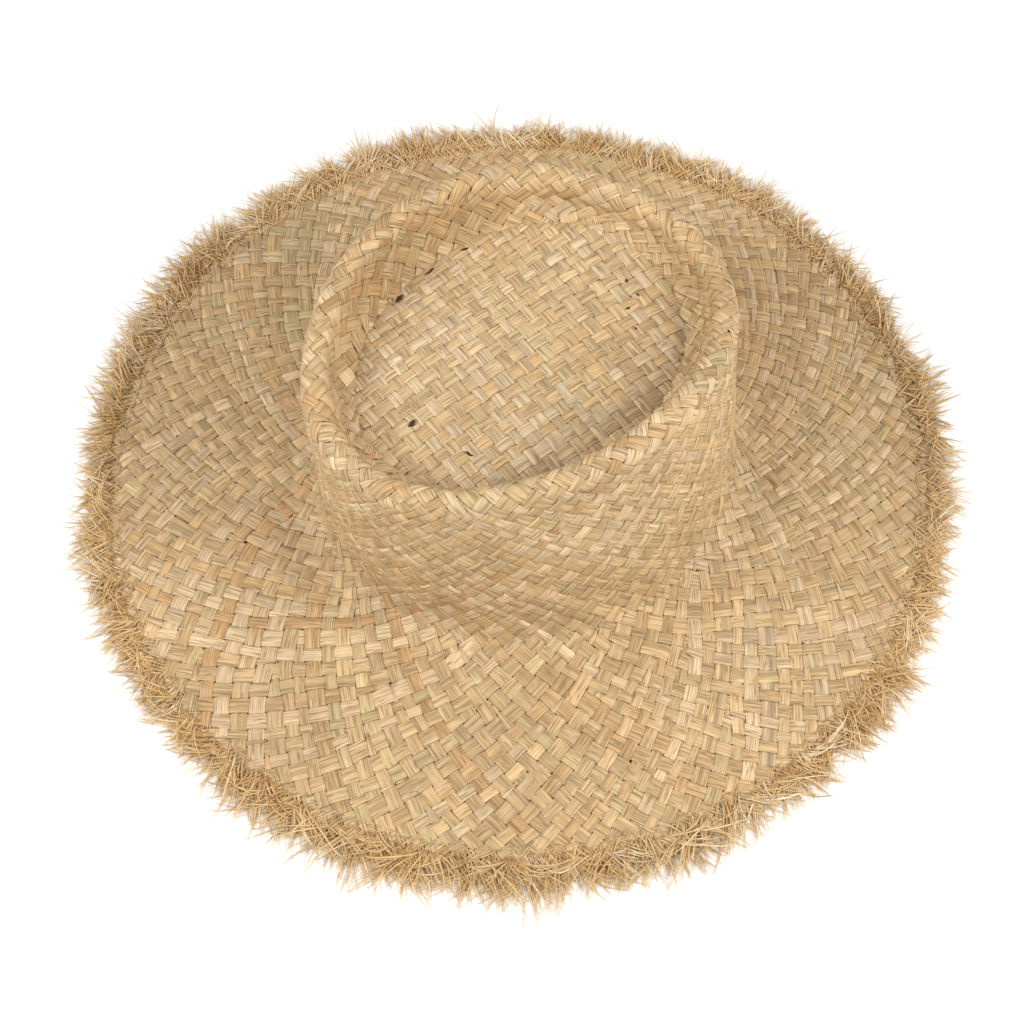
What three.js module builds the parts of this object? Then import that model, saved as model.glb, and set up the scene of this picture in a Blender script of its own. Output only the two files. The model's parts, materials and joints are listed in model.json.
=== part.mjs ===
import * as THREE from 'three';

// A wide-brimmed raffia sun hat with a dented oval crown and a frayed brim.
// Units are millimetres, +Z is up, and the hat rests on z = 0 on the edge of its brim.
// Its long axis is Y: the front of the head is at -Y and the back at +Y.

// Driving dimensions. A pair { x, y } holds an oval's half-widths across and along the head.
const WEAVE_THICKNESS = 1.6;
const GAP = 0.3;
const AROUND = 64;                              // facets round each oval

const BRIM_EDGE = { x: 187, y: 188 };
const REST_RING_WIDTH = 7;                      // the flat outer ring that lies on a table
const BRIM_RISE = 15;                           // how far the brim climbs from its edge to the crown
const HEADLINE = { x: 88, y: 96 };              // the crown where it meets the brim
const RIDGE = { x: 75.5, y: 92 };               // the crest of the crown
const RIDGE_RADIUS = 6;
const RIDGE_TOP = 131.5;
const RIDGE_DIP = 18;                           // the crest is this much lower at front and back
const DENT_FLOOR = { x: 61, y: 75.5 };          // the foot of the dent's wall
const DENT_FLOOR_HEIGHT = 100.5;
const FLOOR_CLIMB = 4;                          // the dent's floor runs up to its wall on one side
const FLOOR_CLIMB_SIDE = THREE.MathUtils.degToRad(133);
const TIP_DOME = 2.5;                           // the dent's floor swells this much at its middle
const CROWN_OFF_CENTRE = { x: 3.8, y: 2.5 };    // the crown's foot from the middle of the brim
const CREST_LEAN = 0.2;                         // the share of that offset left at the crest

const FRINGE_TUFTS = 24;
const TEETH_PER_TUFT = 5;
const FRINGE_LENGTH = 14;
const FRINGE_NOTCH = 5;
const FRINGE_THICKNESS = 3.5;
const FRINGE_LIFT = 0.6;                        // the fringe clears the table by this much
const TUFT_GAP_ANGLE = THREE.MathUtils.degToRad(1);

const BAND_HEIGHT = 28;
const BAND_THICKNESS = 0.8;
const BAND_FOOT = 21;                           // height of the sweatband's lower edge
const THREAD = 0.6;
const BAND_STITCH_INSET = 2.5;                  // from the sweatband's lower edge to its row of stitches
const EDGE_STITCH_INSET = 5;                    // from the brim's edge to its row of stitches
const JOIN_WIDTH = 12;
const SIZE_LABEL = { width: 16, height: 12 };
const CARE_LABEL = { width: 22, height: 24 };
const LABEL_THICKNESS = 0.5;
const LABEL_SPACING = 14;                       // between the sweatband's join and the size label

const STRAW = { color: 0xc9ab78, roughness: 0.75, metalness: 0 };
const FRAYED_STRAW = { color: 0xc09a5f, roughness: 0.8, metalness: 0 };
const RIBBON = { color: 0xd8c8a8, roughness: 0.85, metalness: 0 };
const SEWING_THREAD = { color: 0xcbb68c, roughness: 0.6, metalness: 0 };
const LABEL_CLOTH = { color: 0xefeae0, roughness: 0.7, metalness: 0 };

// A station is one oval ring of the weave's middle surface: half-widths, height at the sides, dip,
// the amount by which the ring is lower at the front and back, lean, its share of the crown's
// offset from the middle of the brim, and climb, how far it is raised on the side of FLOOR_CLIMB_SIDE.
const station = (x, y, height, dip = 0, lean = 0, climb = 0) => ({ x, y, height, dip, lean, climb });

const between = (p, q, t) => station(
  THREE.MathUtils.lerp(p.x, q.x, t),
  THREE.MathUtils.lerp(p.y, q.y, t),
  THREE.MathUtils.lerp(p.height, q.height, t),
  THREE.MathUtils.lerp(p.dip, q.dip, t),
  THREE.MathUtils.lerp(p.lean, q.lean, t),
  THREE.MathUtils.lerp(p.climb, q.climb, t),
);

const grown = (oval, amount) => ({ x: oval.x + amount, y: oval.y + amount });

// The brim: a flat ring at its edge, a slightly hollow cone, and a flare up into the crown.
function brimStations() {
  const flat = WEAVE_THICKNESS / 2;
  const ring = (inset) => {
    const oval = grown(BRIM_EDGE, -inset);
    return station(oval.x, oval.y, flat);
  };
  const flare = grown(HEADLINE, 9);
  const outer = ring(REST_RING_WIDTH + 4);
  const inner = station(flare.x, flare.y, flat + BRIM_RISE * 0.86, 0, 1);
  const crease = grown(HEADLINE, 3.4);
  const cone = [0.25, 0.5, 0.75].map((t) => between(outer, inner, t));
  return [
    ring(0), ring(REST_RING_WIDTH), outer, ...cone, inner,
    station(crease.x, crease.y, flat + BRIM_RISE * 1.1, 0, 1),
  ];
}

// The crown's side: a wall that leans in across the head, a rounded crest, and the dent's wall.
function wallStations() {
  const foot = grown(HEADLINE, 2);
  const top = grown(RIDGE, RIDGE_RADIUS);
  const shoulder = RIDGE_TOP - RIDGE_RADIUS;
  const low = station(HEADLINE.x, HEADLINE.y, 24, 0, 1);
  const high = station(top.x, top.y, shoulder - 8, RIDGE_DIP * 0.95, CREST_LEAN);
  const wall = [0.3, 0.6].map((t) => between(low, high, t));
  return [station(foot.x, foot.y, 18.6, 0, 1), low, ...wall, high];
}

function crestStations() {
  const centre = RIDGE_TOP - RIDGE_RADIUS - WEAVE_THICKNESS / 2;
  return [0, 45, 90, 135, 180].map((degrees) => {
    const angle = THREE.MathUtils.degToRad(degrees);
    const oval = grown(RIDGE, RIDGE_RADIUS * Math.cos(angle));
    const height = centre + RIDGE_RADIUS * Math.sin(angle);
    return station(oval.x, oval.y, height, RIDGE_DIP, CREST_LEAN);
  });
}

function dentWallStations() {
  const lip = grown(RIDGE, -RIDGE_RADIUS - 2);
  const foot = grown(DENT_FLOOR, 2);
  return [
    station(lip.x, lip.y, RIDGE_TOP - 17, RIDGE_DIP * 0.8, CREST_LEAN, FLOOR_CLIMB * 0.5),
    station(foot.x, foot.y, DENT_FLOOR_HEIGHT + 3, RIDGE_DIP * 0.35, CREST_LEAN, FLOOR_CLIMB * 0.9),
    station(DENT_FLOOR.x, DENT_FLOOR.y, DENT_FLOOR_HEIGHT + 0.4, RIDGE_DIP * 0.25, CREST_LEAN, FLOOR_CLIMB),
  ];
}

function tipStations() {
  const oval = grown(DENT_FLOOR, -1);
  const rim = station(oval.x, oval.y, DENT_FLOOR_HEIGHT, RIDGE_DIP * 0.22, CREST_LEAN);
  const centre = station(0, 0, DENT_FLOOR_HEIGHT + TIP_DOME, 0, CREST_LEAN);
  const rings = [0, 0.25, 0.6].map((t) => ({
    ...between(rim, centre, t),
    height: DENT_FLOOR_HEIGHT + TIP_DOME * t * (2 - t),
    climb: FLOOR_CLIMB * (1 - t) ** 3,
  }));
  return [...rings, centre];
}

// The outward normal of station i, in the plane of mean half-width and height.
function normalAt(stations, i) {
  const before = stations[Math.max(i - 1, 0)];
  const after = stations[Math.min(i + 1, stations.length - 1)];
  const run = (after.x + after.y - before.x - before.y) / 2;
  const rise = after.height - before.height - (after.dip - before.dip) / 2;
  const length = Math.hypot(run, rise);
  return { out: rise / length, up: -run / length };
}

function offsetStation(stations, i, distance) {
  const ring = stations[i];
  if (ring.x === 0) {
    return { ...ring, height: ring.height + distance };
  }
  const normal = normalAt(stations, i);
  return { ...ring, ...grown(ring, normal.out * distance), height: ring.height + normal.up * distance };
}

function ovalPoint({ x, y, height, dip, lean, climb }, angle) {
  const across = Math.cos(angle);
  const along = Math.sin(angle);
  const raised = climb * Math.max(Math.cos(angle - FLOOR_CLIMB_SIDE), 0) ** 4;
  return new THREE.Vector3(
    (x + raised / 2) * across + CROWN_OFF_CENTRE.x * lean,
    (y + raised / 2) * along + CROWN_OFF_CENTRE.y * lean,
    height - dip * along * along + raised,
  );
}

// A closed shell of revolution whose rings are ovals. Its profile closes on itself, or starts and
// ends on the axis where the last station lies there.
function shell(stations, thickness, middle = 0) {
  const skin = (side) => stations.map((_, i) => offsetStation(stations, i, middle + side * thickness / 2));
  const reachesAxis = stations.at(-1).x === 0;
  const rings = reachesAxis
    ? [...skin(-1).reverse(), ...skin(1)]
    : [...skin(1), ...skin(-1).reverse(), skin(1)[0]];
  const profile = rings.map((ring) => new THREE.Vector2(ring.x, ring.height));
  const geometry = new THREE.LatheGeometry(profile, AROUND);
  const positions = geometry.getAttribute('position');
  for (let i = 0; i < positions.count; i += 1) {
    const turn = Math.floor(i / rings.length) % AROUND;
    const point = ovalPoint(rings[i % rings.length], turn * 2 * Math.PI / AROUND);
    positions.setXYZ(i, point.x, point.y, point.z);
  }
  return geometry;
}

// Rings of the crown's wall between two heights, measured at its sides.
function wallSlice(from, to, count) {
  const [, low, , , high] = wallStations();
  return Array.from({ length: count }, (_, i) => {
    const height = THREE.MathUtils.lerp(from, to, i / (count - 1));
    return between(low, high, (height - low.height) / (high.height - low.height));
  });
}

// A thin rectangle laid against the wall inside the crown, centred at an angle.
function wallPatch({ width, height }, thickness, foot, angle, middle) {
  const slice = wallSlice(foot, foot + height, 2);
  const geometry = new THREE.BoxGeometry(width, thickness, height, 4, 1, 2);
  const positions = geometry.getAttribute('position');
  const radius = (HEADLINE.x + HEADLINE.y) / 2;
  for (let i = 0; i < positions.count; i += 1) {
    const ring = between(slice[0], slice[1], positions.getZ(i) / height + 0.5);
    const oval = grown(ring, middle + positions.getY(i));
    const place = { ...ring, ...oval };
    const point = ovalPoint(place, angle - positions.getX(i) / radius);
    positions.setXYZ(i, point.x, point.y, point.z);
  }
  return geometry;
}

// A short comb of strand ends standing out from the brim's edge.
function tuftGeometry(index) {
  const pitch = 2 * Math.PI / FRINGE_TUFTS;
  const start = index * pitch + TUFT_GAP_ANGLE / 2;
  const span = pitch - TUFT_GAP_ANGLE;
  const steps = TEETH_PER_TUFT * 2;
  const rim = (reach, step) => {
    const angle = start + span * step / steps;
    const oval = grown(BRIM_EDGE, reach);
    return new THREE.Vector2(oval.x * Math.cos(angle), oval.y * Math.sin(angle));
  };
  const root = GAP + 0.3;
  const inner = [0, steps / 2, steps].map((step) => rim(root, step));
  const outer = Array.from({ length: steps + 1 }, (_, step) => (
    rim(step % 2 ? FRINGE_LENGTH : FRINGE_LENGTH - FRINGE_NOTCH, step)
  ));
  const outline = new THREE.Shape([...outer, ...inner.reverse()]);
  return new THREE.ExtrudeGeometry(outline, { depth: FRINGE_THICKNESS, bevelEnabled: false });
}

function piece(name, geometry, look) {
  const mesh = new THREE.Mesh(geometry, new THREE.MeshStandardMaterial(look));
  mesh.name = name;
  return mesh;
}

function wovenBody() {
  const side = [...wallStations(), ...crestStations(), ...dentWallStations()];
  return [
    piece('brim', shell(brimStations(), WEAVE_THICKNESS), STRAW),
    piece('crown_side', shell(side, WEAVE_THICKNESS), STRAW),
    piece('crown_tip', shell(tipStations(), WEAVE_THICKNESS), STRAW),
  ];
}

function fringe() {
  return Array.from({ length: FRINGE_TUFTS }, (_, index) => {
    const tuft = piece(`fringe_${String(index + 1).padStart(2, '0')}`, tuftGeometry(index), FRAYED_STRAW);
    tuft.position.z = FRINGE_LIFT;
    return tuft;
  });
}

function edgeStitches() {
  const bottom = WEAVE_THICKNESS + GAP;
  const ring = (inset) => {
    const oval = grown(BRIM_EDGE, -inset);
    return station(oval.x, oval.y, bottom + THREAD / 2);
  };
  const row = [ring(EDGE_STITCH_INSET), ring(EDGE_STITCH_INSET + THREAD)];
  return piece('brim_edge_stitches', shell(row, THREAD), SEWING_THREAD);
}

// The ribbon inside the crown, its lapped end at the back, its stitches and two blank labels.
function sweatband() {
  const face = -WEAVE_THICKNESS / 2 - GAP;
  const bandMiddle = face - BAND_THICKNESS / 2;
  const onBand = face - BAND_THICKNESS - GAP;
  const back = Math.PI / 2;
  const band = shell(wallSlice(BAND_FOOT, BAND_FOOT + BAND_HEIGHT, 4), BAND_THICKNESS, bandMiddle);

  const stitchFoot = BAND_FOOT + BAND_STITCH_INSET;
  const stitches = shell(wallSlice(stitchFoot, stitchFoot + THREAD, 2), THREAD, onBand - THREAD / 2);

  const lap = { width: JOIN_WIDTH, height: BAND_HEIGHT - BAND_STITCH_INSET - 3 };
  const aboveStitches = stitchFoot + THREAD + 1;
  const radius = (HEADLINE.x + HEADLINE.y) / 2;
  const sizeAngle = back + LABEL_SPACING / radius + SIZE_LABEL.width / radius;
  const labelMiddle = onBand - LABEL_THICKNESS / 2;
  return [
    piece('sweatband', band, RIBBON),
    piece('sweatband_stitches', stitches, SEWING_THREAD),
    piece('sweatband_join', wallPatch(lap, BAND_THICKNESS, aboveStitches, back,
      onBand - BAND_THICKNESS / 2), RIBBON),
    piece('size_label', wallPatch(SIZE_LABEL, LABEL_THICKNESS, aboveStitches, sizeAngle,
      labelMiddle), LABEL_CLOTH),
    piece('care_label', wallPatch(CARE_LABEL, LABEL_THICKNESS, aboveStitches, Math.PI,
      labelMiddle), LABEL_CLOTH),
  ];
}

const hat = new THREE.Group();
hat.add(...wovenBody(), ...fringe(), edgeStitches(), ...sweatband());

export default hat;
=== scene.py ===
"""A raffia sun hat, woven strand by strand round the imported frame.

The weave is real geometry: every strand is a closed ribbon that passes over and under the strands
it crosses. Two families of strands spiral out from the foot of the crown's dent, over the crest,
down the wall and across the brim, and more strands join as the hat widens. The floor of the dent
has a straight weave of its own. The strands' ends are shredded into the fringe.

Lengths are millimetres until a mesh is made, and metres in Blender.
"""

import json
import math

import bpy
import numpy as np
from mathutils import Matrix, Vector

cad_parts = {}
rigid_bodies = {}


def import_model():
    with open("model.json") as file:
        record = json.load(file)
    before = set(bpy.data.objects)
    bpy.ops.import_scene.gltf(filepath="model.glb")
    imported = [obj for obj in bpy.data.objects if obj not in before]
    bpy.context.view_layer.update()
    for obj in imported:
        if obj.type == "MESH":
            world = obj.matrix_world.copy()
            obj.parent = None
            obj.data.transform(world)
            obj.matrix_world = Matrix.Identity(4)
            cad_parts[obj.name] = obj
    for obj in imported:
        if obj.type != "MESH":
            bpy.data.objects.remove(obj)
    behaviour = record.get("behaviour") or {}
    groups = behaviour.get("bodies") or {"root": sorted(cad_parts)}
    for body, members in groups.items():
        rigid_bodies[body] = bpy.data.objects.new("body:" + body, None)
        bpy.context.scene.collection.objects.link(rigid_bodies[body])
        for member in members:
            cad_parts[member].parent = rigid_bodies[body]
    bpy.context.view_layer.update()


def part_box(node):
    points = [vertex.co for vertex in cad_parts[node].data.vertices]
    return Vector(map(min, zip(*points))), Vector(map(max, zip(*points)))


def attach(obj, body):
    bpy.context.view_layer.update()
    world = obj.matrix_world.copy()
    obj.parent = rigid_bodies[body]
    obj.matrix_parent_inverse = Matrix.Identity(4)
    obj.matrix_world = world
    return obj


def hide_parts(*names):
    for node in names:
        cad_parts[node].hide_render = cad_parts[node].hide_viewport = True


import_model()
MM = 0.001

# ---- Driving dimensions, taken from the frame where it holds them ----

BRIM_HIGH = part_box("brim")[1] / MM
CROWN_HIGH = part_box("crown_side")[1] / MM
UP = np.array([0, 0, 1.0])
BACK = math.pi / 2  # angle of the hat's back

SHELL = 1.6  # thickness of the solids that the weave replaces
BRIM_EDGE = np.array([BRIM_HIGH.x, BRIM_HIGH.y])
BRIM_RADIUS = BRIM_EDGE.mean()
BRIM_FRONT = math.radians(-36)  # the side where the brim's weave was left longest
BRIM_FRONT_REACH = 4.0
BRIM_WAVES = ((1.1, 3, 0.6), (0.7, 5, 2.1))  # height, number round the hat, phase
REST_RING_WIDTH = 7.0
BRIM_RISE = 15.0
HEADLINE = np.array([88.0, 96.0])
HEAD_RADIUS = HEADLINE.mean()
CREASE_HEIGHT = 18.0  # where the brim turns up into the crown
RIDGE = np.array([75.5, 92.0])
RIDGE_RADIUS = 6.0
RIDGE_TOP = CROWN_HIGH.z
RIDGE_DIP = 18.0
DENT_FLOOR = np.array([61.0, 75.5])
DENT_FLOOR_HEIGHT = 100.5
DENT_FLOOR_DIP = RIDGE_DIP * 0.22
FLOOR_CLIMB = 4.0  # the dent's floor runs up to its wall on one side
FLOOR_CLIMB_SIDE = math.radians(133)
TIP_DOME = 2.5
CROWN_OFF_CENTRE = np.array([3.8, 2.5])
CROWN_WAVES = ((0.4, 4, 5), (0.3, 7, -8))  # swell, number round the hat, twist with the turn
CREST_LEAN = 0.2

CELL = 6.1  # mean width of a strand
STRAND_THICKNESS = 0.42
STRAND_RISE = 0.36  # how far a strand's middle lifts over its neighbours
STEP_LENGTH = 1.4  # spacing of the rings of vertices along a strand
WEAVE_ROWS = 900  # rows at which the strands' places are kept
JOIN_CLEARANCE = 0.06  # least angle from the x axis to a new strand
LAST_JOIN = 0.05  # no strand joins this close to the edge, in turn
YOUNGEST_STRAND = 0.02  # a strand is drawn from this far past its start, in turn
SHORTEST_STRAND = 0.03

EDGE_UNEVENNESS = 3.5  # how far short of the brim's edge a strand may end
FRINGE_TUFTS = 24
FRINGE_REACH = 21.5  # the furthest that a fibre may reach past the weave
FIBRE_LENGTHS = (11, 23)
RIBBONS = (4, 7)  # least number for each strand's end, and one more than the most
FINE_FIBRES = (22, 31)
RIBBON_ROOM = 5.6  # width that a strand's ribbons share
STRAY_FIBRES = 90

BAND_FOOT = 21.0  # height of the sweatband's lower edge
BAND_HEIGHT = 28.0
BAND_THICKNESS = 0.8
BAND_INSET = 1.1  # from the weave's middle to the band's outer face
RIB_PITCH = 1.1  # spacing of the grosgrain's ribs
RIB_DEPTH = 0.12
THREAD = 0.5  # thickness of the sewing thread
BAND_STITCH = (4.2, 3.1)  # pitch and length
BAND_STITCH_INSET = 2.8  # from the band's lower edge to its stitches
EDGE_STITCH = (3.9, 0.68)  # pitch, and length as a share of it
EDGE_STITCH_INSET = 5.0  # from the brim's edge to its stitches
JOIN_WIDTH = 12.0
JOIN_HEIGHT = BAND_HEIGHT - BAND_STITCH_INSET - 3
JOIN_STITCH = (3.2, 2.3)
JOIN_STITCH_INSET = 1.6
SIZE_LABEL = (16.0, 12.0)
CARE_LABEL = (22.0, 24.0)
LABEL_FOOT = 25.1
LABEL_SPACING = 14.0  # between the band's join and the size label
LABEL_THICKNESS = 0.4
LABEL_HEM = (2.2, 0.3)  # height and thickness
LABEL_STITCH = (2.6, 1.9)


def unit(vectors):
    return vectors / np.maximum(np.linalg.norm(vectors, axis=-1, keepdims=True), 1e-6)


def level_way(angle):
    """A level direction of unit length."""
    return np.array([math.cos(angle), math.sin(angle), 0.0])


def off_centre(x, y, height, lean):
    """A place moved by its share of the crown's offset."""
    return np.stack([x + CROWN_OFF_CENTRE[0] * lean, y + CROWN_OFF_CENTRE[1] * lean, height], -1)


# ---- The hat's surface, as rings from the foot of the dent out to the edge of the brim ----

def ring(oval, height, dip=0.0, lean=0.0, climb=0.0):
    """One ring of the section.

    Its values are the half-widths, the height at the sides, the drop at front and back, the share
    of the crown's offset, and the climb on the side where the dent's floor climbs.
    """
    return np.array([oval[0], oval[1], height, dip, lean, climb])


WALL_HIGH = ring(RIDGE + RIDGE_RADIUS, RIDGE_TOP - RIDGE_RADIUS - 8, RIDGE_DIP * 0.95, CREST_LEAN)
WALL_LOW = ring(HEADLINE, 24, 0, 1)


def climbing(angle):
    """How much of a ring's climb there is at an angle."""
    return np.maximum(np.cos(angle - FLOOR_CLIMB_SIDE), 0) ** 4


def body_rings():
    """The section's rings, from the foot of the dent over the crest and out to the brim's edge."""
    # Offsets from the dent's floor outwards and upwards, and shares of the dip and the climb.
    foot = (
        (-5, -1.3, 0.2, 0.78),
        (-1.5, -0.9, 0.22, 0.95),
        (0.5, 0.4, 0.25, 1),
        (2, 3, 0.35, 0.9),
    )
    rings = []
    for out, up, dip, climb in foot:
        dip, climb = RIDGE_DIP * dip, FLOOR_CLIMB * climb
        rings.append(ring(DENT_FLOOR + out, DENT_FLOOR_HEIGHT + up, dip, CREST_LEAN, climb))
    inner = RIDGE - RIDGE_RADIUS
    rings.append(ring(inner - 2, RIDGE_TOP - 17, RIDGE_DIP * 0.8, CREST_LEAN, FLOOR_CLIMB * 0.5))
    for degrees in (180, 135, 90, 45, 0):
        angle = math.radians(degrees)
        height = RIDGE_TOP - RIDGE_RADIUS - SHELL / 2 + RIDGE_RADIUS * math.sin(angle)
        rings.append(ring(RIDGE + RIDGE_RADIUS * math.cos(angle), height, RIDGE_DIP, CREST_LEAN))
    rings += [WALL_LOW + (WALL_HIGH - WALL_LOW) * t for t in (1, 0.6, 0.3, 0)]
    flat = SHELL / 2
    rings.append(ring(HEADLINE + 2, 18.6, 0, 1))
    rings.append(ring(HEADLINE + 3.4, flat + BRIM_RISE * 1.1, 0, 1))
    flare = ring(HEADLINE + 9, flat + BRIM_RISE * 0.86, 0, 1)
    outer = ring(BRIM_EDGE - REST_RING_WIDTH - 4, flat)
    rings += [flare + (outer - flare) * t for t in (0, 0.25, 0.5, 0.75, 1)]
    return np.array(rings + [ring(BRIM_EDGE - REST_RING_WIDTH, flat), ring(BRIM_EDGE, flat)])


def smooth_path(points, steps):
    """A cubic through the points, with tangents weighed by the spacing of the points."""
    gaps = np.linalg.norm(np.diff(points[:, :3], axis=0), axis=1)[:, None]
    slopes = np.diff(points, axis=0) / gaps
    inner = (slopes[:-1] * gaps[1:] + slopes[1:] * gaps[:-1]) / (gaps[:-1] + gaps[1:])
    tangents = np.vstack([slopes[:1], inner, slopes[-1:]])
    t = np.arange(steps)[:, None] / steps
    pieces = []
    for i, gap in enumerate(gaps):
        pieces.append(
            (2 * t**3 - 3 * t**2 + 1) * points[i]
            + (t**3 - 2 * t**2 + t) * gap * tangents[i]
            + (3 * t**2 - 2 * t**3) * points[i + 1]
            + (t**3 - t**2) * gap * tangents[i + 1]
        )
    return np.vstack(pieces + [points[-1:]])


class Skin:
    """The surface, addressed by angle round the hat and by turn.

    Turn grows outwards by distance over radius, so a line that climbs one unit of angle for each
    unit of turn crosses every ring at 45 degrees, and two such families weave square cells.
    """

    def __init__(self, rings):
        self.rings = smooth_path(rings, 30)
        self.radius = self.rings[:, :2].mean(1)
        height = self.rings[:, 2] - self.rings[:, 3] / 2
        run = np.hypot(np.diff(self.radius), np.diff(height))
        middle = (self.radius[1:] + self.radius[:-1]) / 2
        self.turn = np.concatenate([[0], np.cumsum(run / middle)])
        self.crease = self.turn[np.argmin(abs(self.rings[:, 2] - CREASE_HEIGHT))]
        self.end = self.turn[-1]

    def at(self, turn, angle):
        columns = (np.interp(turn, self.turn, column) for column in self.rings.T)
        x, y, height, dip, lean, climb = columns
        brim = np.clip((turn - self.crease) / (self.end - self.crease), 0, 1)
        waves = sum(rise * np.sin(count * angle + phase) for rise, count, phase in BRIM_WAVES)
        height = height + np.sin(math.pi * brim) ** 2 * waves
        crown = np.clip(turn / self.crease, 0, 1)
        waves = sum(out * np.sin(count * angle + twist * turn) for out, count, twist in CROWN_WAVES)
        reach = BRIM_FRONT_REACH * brim**2 * np.maximum(np.cos(angle - BRIM_FRONT), 0) ** 2
        raised = climb * climbing(angle)
        swell = np.sin(math.pi * crown) ** 2 * waves + reach + raised / 2
        across, along = np.cos(angle), np.sin(angle)
        height = height - dip * along * along + raised
        return off_centre((x + swell) * across, (y + swell) * along, height, lean)

    def normal(self, turn, angle):
        small = 0.004
        turn = np.clip(turn, small, self.end - small)
        outward = self.at(turn + small, angle) - self.at(turn - small, angle)
        sideways = self.at(turn, angle + small) - self.at(turn, angle - small)
        return unit(np.cross(outward, sideways))

    def radius_at(self, turn):
        return np.interp(turn, self.turn, self.radius)


SKIN = Skin(body_rings())


# ---- Meshes of many tubes ----

def add_object(name, data):
    added = bpy.data.objects.new(name, data)
    bpy.context.scene.collection.objects.link(added)
    return added


class Bundle:
    """Closed tubes gathered into one mesh, with a colour and a grain coordinate at each vertex.

    Grain is (distance along, distance across, number of the tube), which lays the streaks of the
    fibres along each tube. Every tube also gets its own strip in a UV map for baking.
    """

    STRIP_GAP = 1.03

    def __init__(self):
        self.points, self.colours, self.grains = [], [], []
        self.quads, self.fans, self.strips = [], [], []
        self.count = 0

    def add(self, rings, colours, grains):
        """Adds one tube. Its colours may be one colour for all of it."""
        colours = np.broadcast_to(colours, rings.shape)
        steps, sides, _ = rings.shape
        index = np.arange(steps * sides).reshape(steps, sides) + self.count
        here, after = index[:-1], index[1:]
        quads = np.stack([here, after, np.roll(after, -1, 1), np.roll(here, -1, 1)], -1)
        self.quads.append(quads.reshape(-1, 4))
        first, last = self.count + steps * sides, self.count + steps * sides + 1
        start, end = index[0], index[-1]
        self.fans.append(np.stack([start, np.roll(start, -1), np.full(sides, first)], -1))
        self.fans.append(np.stack([np.roll(end, -1), end, np.full(sides, last)], -1))
        for store, values in ((self.points, rings), (self.colours, colours), (self.grains, grains)):
            flat = values.reshape(-1, values.shape[-1])
            store.append(np.vstack([flat, values[0].mean(0), values[-1].mean(0)]))
        self.count += steps * sides + 2
        length = np.linalg.norm(np.diff(rings.mean(1), axis=0), axis=1).sum()
        girth = np.linalg.norm(np.roll(rings[0], -1, 0) - rings[0], axis=1).sum()
        self.strips.append((steps, sides, length, girth))

    def strip_corners(self):
        """Lower corner of each tube's strip on shelves, and the side of the square they fill."""
        lengths = [length for _, _, length, _ in self.strips]
        tall = max(girth for _, _, _, girth in self.strips) * 1.1
        side = max(math.sqrt(sum(lengths) * 1.05 * tall) * 1.02, max(lengths) * 1.05)
        while True:
            corners, x, y = [], 0.0, 0.0
            for length in lengths:
                if x + length > side:
                    x, y = 0.0, y + tall
                corners.append((x, y))
                x += length * self.STRIP_GAP
            if y + tall <= side:
                return corners, side
            side *= self.STRIP_GAP

    def strip_uvs(self):
        corners, side = self.strip_corners()
        quads, fans = [], []
        for (steps, sides, length, girth), corner in zip(self.strips, corners):
            u = (corner[0] + np.arange(steps) / (steps - 1) * length) / side
            v = (corner[1] + np.arange(sides + 1) / sides * girth) / side
            grid = np.stack(np.meshgrid(u, v, indexing="ij"), -1)
            low, high = grid[:-1], grid[1:]
            quad = [low[:, :-1], high[:, :-1], high[:, 1:], low[:, 1:]]
            quads.append(np.stack(quad, 2).reshape(-1, 2))
            for end, order in ((grid[0], 1), (grid[-1], -1)):
                pair = [end[:-1], end[1:]][::order]
                middle = np.broadcast_to(end.mean(0), end[:-1].shape)
                fans.append(np.stack(pair + [middle], 1).reshape(-1, 2))
        return np.vstack(quads + fans)

    def build(self, name, material):
        points = np.vstack(self.points) * MM
        faces = np.vstack(self.quads).tolist() + np.vstack(self.fans).tolist()
        mesh = bpy.data.meshes.new(name)
        mesh.from_pydata(points.tolist(), [], faces)
        colour = mesh.color_attributes.new("straw", "FLOAT_COLOR", "POINT")
        rgba = np.hstack([np.vstack(self.colours), np.ones((self.count, 1))])
        grain = mesh.attributes.new("grain", "FLOAT_VECTOR", "POINT")
        uv = mesh.uv_layers.new(name="OFBake")
        colour.data.foreach_set("color", rgba.astype(np.float32).ravel())
        grain.data.foreach_set("vector", np.vstack(self.grains).astype(np.float32).ravel())
        uv.data.foreach_set("uv", self.strip_uvs().astype(np.float32).ravel())
        mesh.polygons.foreach_set("use_smooth", np.ones(len(faces), bool))
        mesh.materials.append(material)
        mesh.update()
        return add_object(name, mesh)


def grain_of(along, across, number):
    """The grain at a tube's vertices, from distances along and across it and its number."""
    return np.stack(np.broadcast_arrays(along[:, None], across, number), -1)


def spokes(sides):
    """Angles of the corners round a tube."""
    return np.arange(sides) / sides * math.tau


# ---- Straw: colours and cross-sections ----

# Linear colours of dry raffia, with how often each turns up.
STRAW_COLOURS = (
    ((0.56, 0.385, 0.195), 0.46),  # plain straw
    ((0.61, 0.445, 0.255), 0.24),  # pale
    ((0.54, 0.350, 0.165), 0.15),  # warm tan
    ((0.49, 0.295, 0.130), 0.03),  # orange brown
    ((0.53, 0.390, 0.195), 0.08),  # greenish
    ((0.57, 0.400, 0.235), 0.04),  # pinkish
)
# Painted shadow: the colour of the dark tubes where the dent's weave looks parted.
SLIT_SHADOW_TONE = np.array([0.045, 0.019, 0.006])
TIP_LIGHTENING = np.array([1.05, 1.09, 1.15])  # the crown's tip is made paler than the rest
FRINGE_COLOURS = (
    ((0.72, 0.49, 0.215), 0.42),
    ((0.80, 0.59, 0.32), 0.32),
    ((0.56, 0.32, 0.12), 0.12),
    ((0.92, 0.79, 0.58), 0.14),
)


def pick_colour(rng, palette):
    shares = np.array([share for _, share in palette])
    choice = rng.choice(len(palette), p=shares / shares.sum())
    return np.array(palette[choice][0]) * rng.uniform(0.95, 1.05)


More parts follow.
